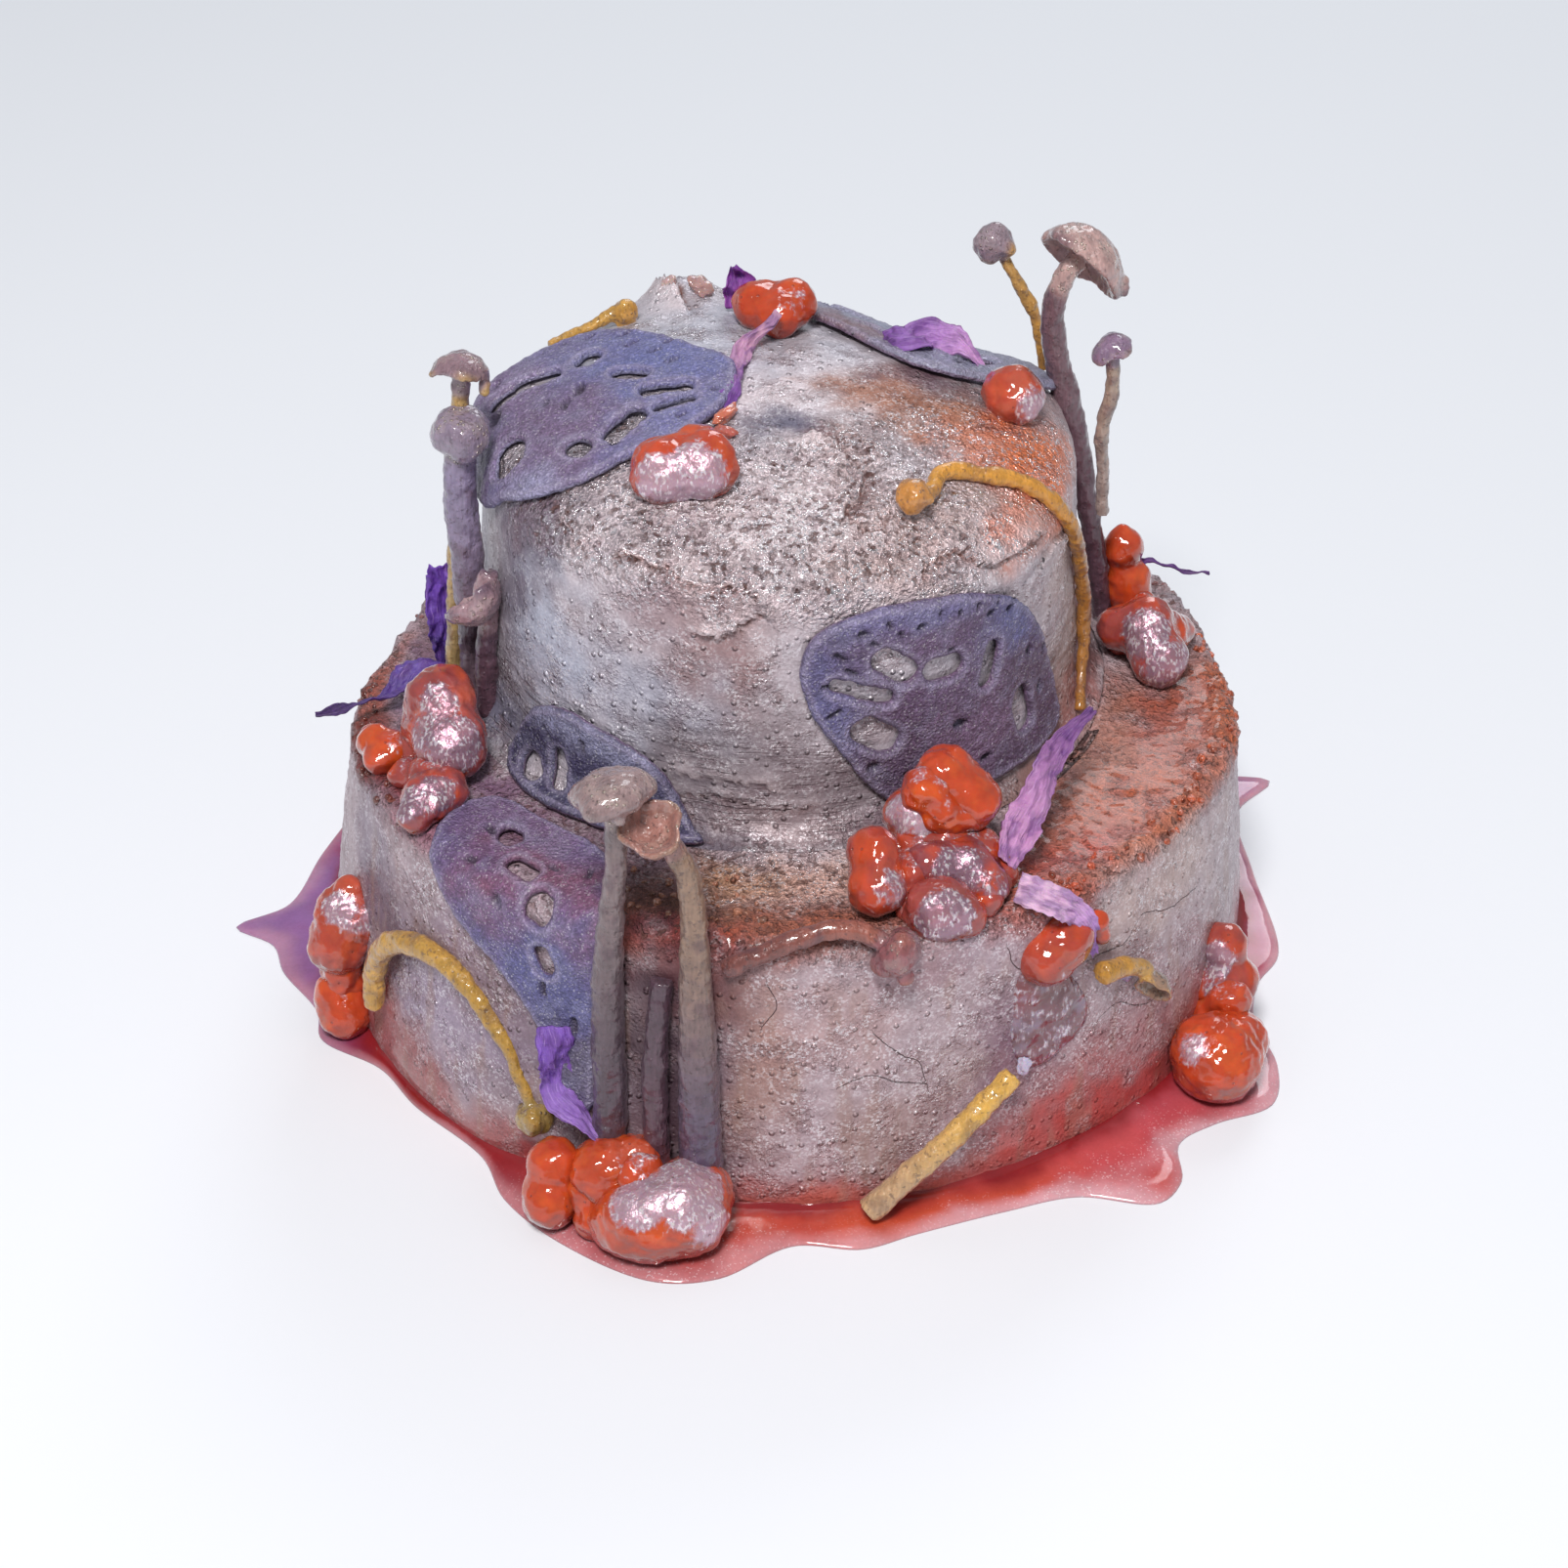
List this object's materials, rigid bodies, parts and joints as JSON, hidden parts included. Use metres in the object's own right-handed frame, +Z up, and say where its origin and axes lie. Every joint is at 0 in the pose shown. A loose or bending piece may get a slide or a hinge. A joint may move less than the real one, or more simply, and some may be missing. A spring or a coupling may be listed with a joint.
{
  "type": "sweet potato cake",
  "caption": "Round two-tier cake in pearly frosting, draped with thin root slices and dotted with jelly lumps, thin-stemmed mushrooms and dried petals.",
  "frame": {"origin": "centre of the lower tier's foot, on the surface that the cake stands on", "axes": "+Z up, +X to the right as the front is seen, +Y towards the back"},
  "size_m": [0.1982, 0.193, 0.1348],
  "materials": {
    "frosting": "frosting with a fine pearly dust, silver-lilac with copper and rust patches",
    "lotus": "thin cooked root slice, indigo and violet with a pearly dust",
    "lilac": "mushroom in a glossy mauve jelly coat with fine bubbles",
    "golden": "mushroom in an amber glaze",
    "jelly": "translucent orange-red jelly, partly pearl dusted",
    "petal": "dried violet petal, thin and crinkled",
    "syrup": "glossy berry-red syrup"
  },
  "bodies": {
    "root": {"lower_tier": "frosting", "upper_tier": "frosting", "lotus_top": "lotus", "lotus_wall": "lotus", "lotus_foot": "lotus", "lotus_ledge": "lotus", "lotus_back": "lotus", "mushroom_left_far": "lilac", "mushroom_left_near": "lilac", "mushroom_left_bent": "lilac", "mushroom_back": "golden", "mushroom_right_tall": "lilac", "mushroom_right_golden": "golden", "mushroom_right_small": "lilac", "mushroom_draped": "golden", "mushroom_front_left": "lilac", "mushroom_front_right": "lilac", "mushroom_front_stub": "lilac", "mushroom_ledge": "lilac", "mushroom_arch": "golden", "mushroom_curl": "golden", "mushroom_leaning": "golden", "jelly_top_back": "jelly", "jelly_top_front": "jelly", "jelly_top_right": "jelly", "jelly_left_tall": "jelly", "jelly_left_low": "jelly", "jelly_left_rim": "jelly", "jelly_front_crown": "jelly", "jelly_front_left": "jelly", "jelly_front_right": "jelly", "jelly_front_bead": "jelly", "jelly_right_peak": "jelly", "jelly_right_lobes": "jelly", "jelly_foot_left_high": "jelly", "jelly_foot_left_low": "jelly", "jelly_foot_front_small": "jelly", "jelly_foot_front_left": "jelly", "jelly_foot_front_big": "jelly", "jelly_foot_right_high": "jelly", "jelly_foot_right_low": "jelly", "jelly_wall_right": "jelly", "jelly_wall_bead": "jelly", "petal_top_back": "petal", "petal_top_strip": "petal", "petal_top_right": "petal", "petal_left_tuft": "petal", "petal_left_flat": "petal", "petal_front_long": "petal", "petal_front_rim": "petal", "petal_foot": "petal", "petal_right_thread": "petal", "syrup_puddle": "syrup"}
  },
  "joints": []
}
